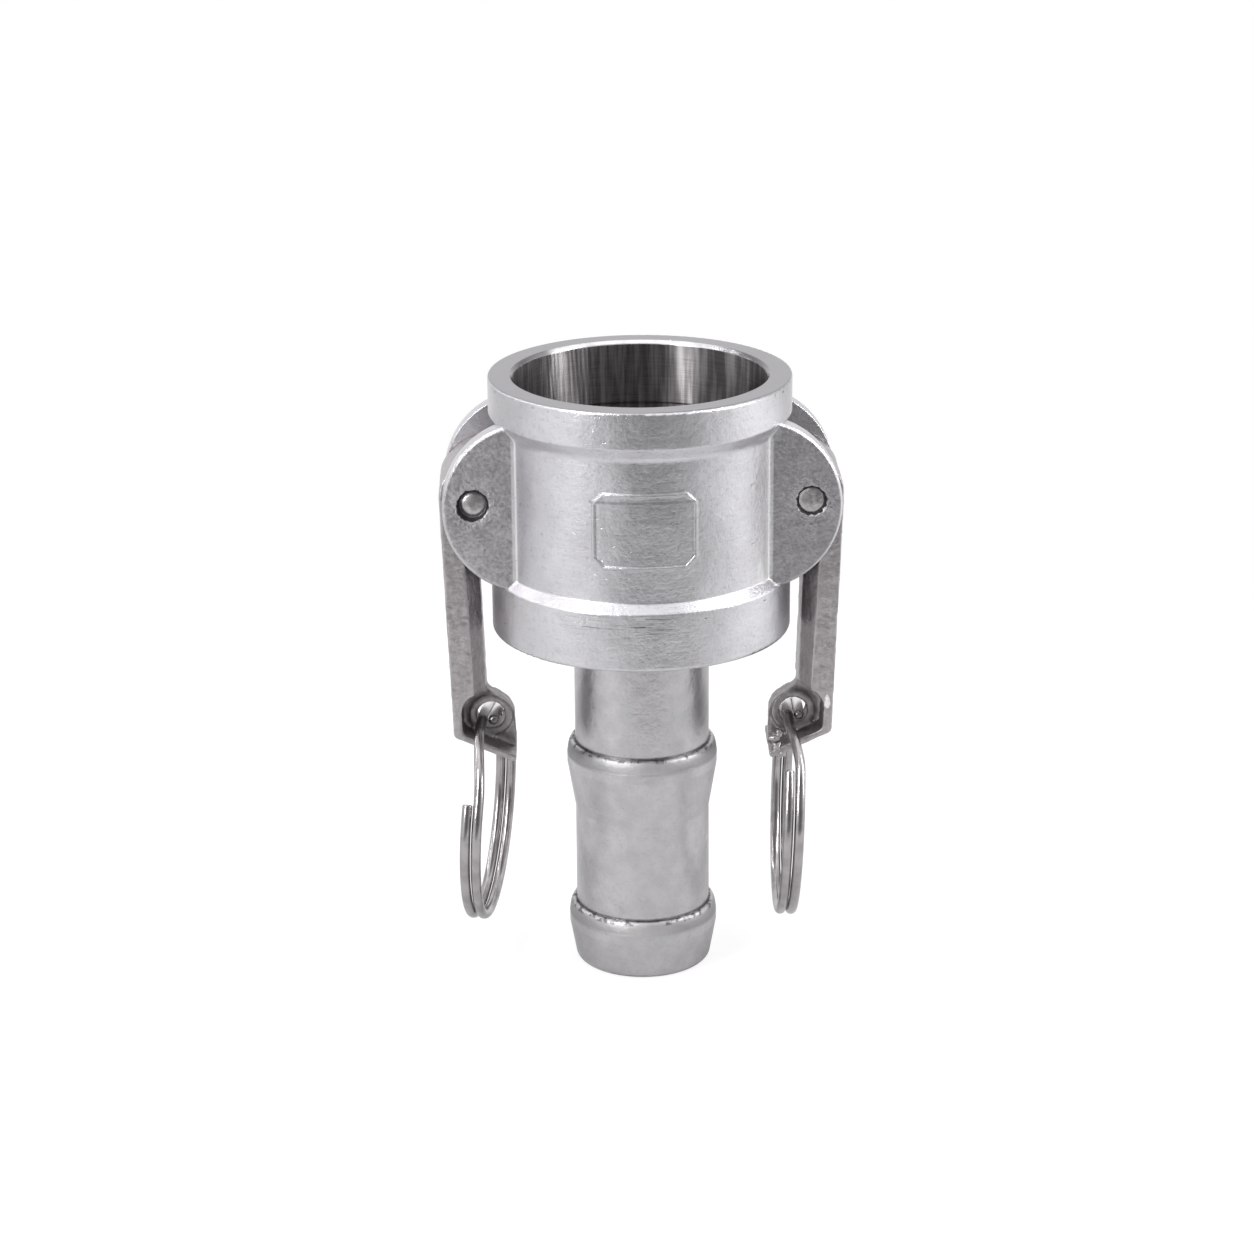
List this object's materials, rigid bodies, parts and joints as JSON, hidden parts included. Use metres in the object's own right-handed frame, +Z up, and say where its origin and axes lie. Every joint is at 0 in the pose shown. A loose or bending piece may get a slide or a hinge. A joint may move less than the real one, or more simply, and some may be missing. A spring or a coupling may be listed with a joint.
{
  "type": "cam and groove coupling",
  "caption": "Cam and groove hose coupling: a socket with two hinged cam arms and pull rings above a barbed hose tail, with a flat gasket inside.",
  "frame": {"origin": "centre of the tip of the hose tail, which is the bottom of the part", "axes": "+Z up the flow axis towards the socket's mouth, X through the two cam arms, -Y towards the front with the raised panel"},
  "size_m": [0.052, 0.039, 0.081],
  "materials": {
    "cast_body": "satin shot-blasted investment casting",
    "cast_arm": "rough grey-brown casting",
    "pin_steel": "plain drawn pin",
    "ring_wire": "polished spring wire",
    "gasket_rubber": "matt black"
  },
  "bodies": {
    "coupler": {"coupler_body": "cast_body", "gasket": "gasket_rubber", "left_pivot_pin": "pin_steel", "right_pivot_pin": "pin_steel"},
    "left_arm": {"left_cam_arm": "cast_arm"},
    "right_arm": {"right_cam_arm": "cast_arm"},
    "left_ring": {"left_pull_ring": "ring_wire"},
    "right_ring": {"right_pull_ring": "ring_wire"}
  },
  "joints": [
    {"name": "left_arm_pivot", "type": "hinge", "parent": "coupler", "child": "left_arm", "pos_m": [-0.0215, 0, 0.0662], "axis": [0, 1, 0], "range_deg": [-3.5, 120]},
    {"name": "right_arm_pivot", "type": "hinge", "parent": "coupler", "child": "right_arm", "pos_m": [0.0215, 0, 0.0662], "axis": [0, -1, 0], "range_deg": [-3.5, 120]},
    {"name": "left_ring_swing", "type": "hinge", "parent": "left_arm", "child": "left_ring", "pos_m": [-0.01991, 0, 0.03514], "axis": [0, 1, 0], "range_deg": [-10, 120]},
    {"name": "right_ring_swing", "type": "hinge", "parent": "right_arm", "child": "right_ring", "pos_m": [0.01991, 0, 0.03514], "axis": [0, -1, 0], "range_deg": [-8, 120]}
  ]
}
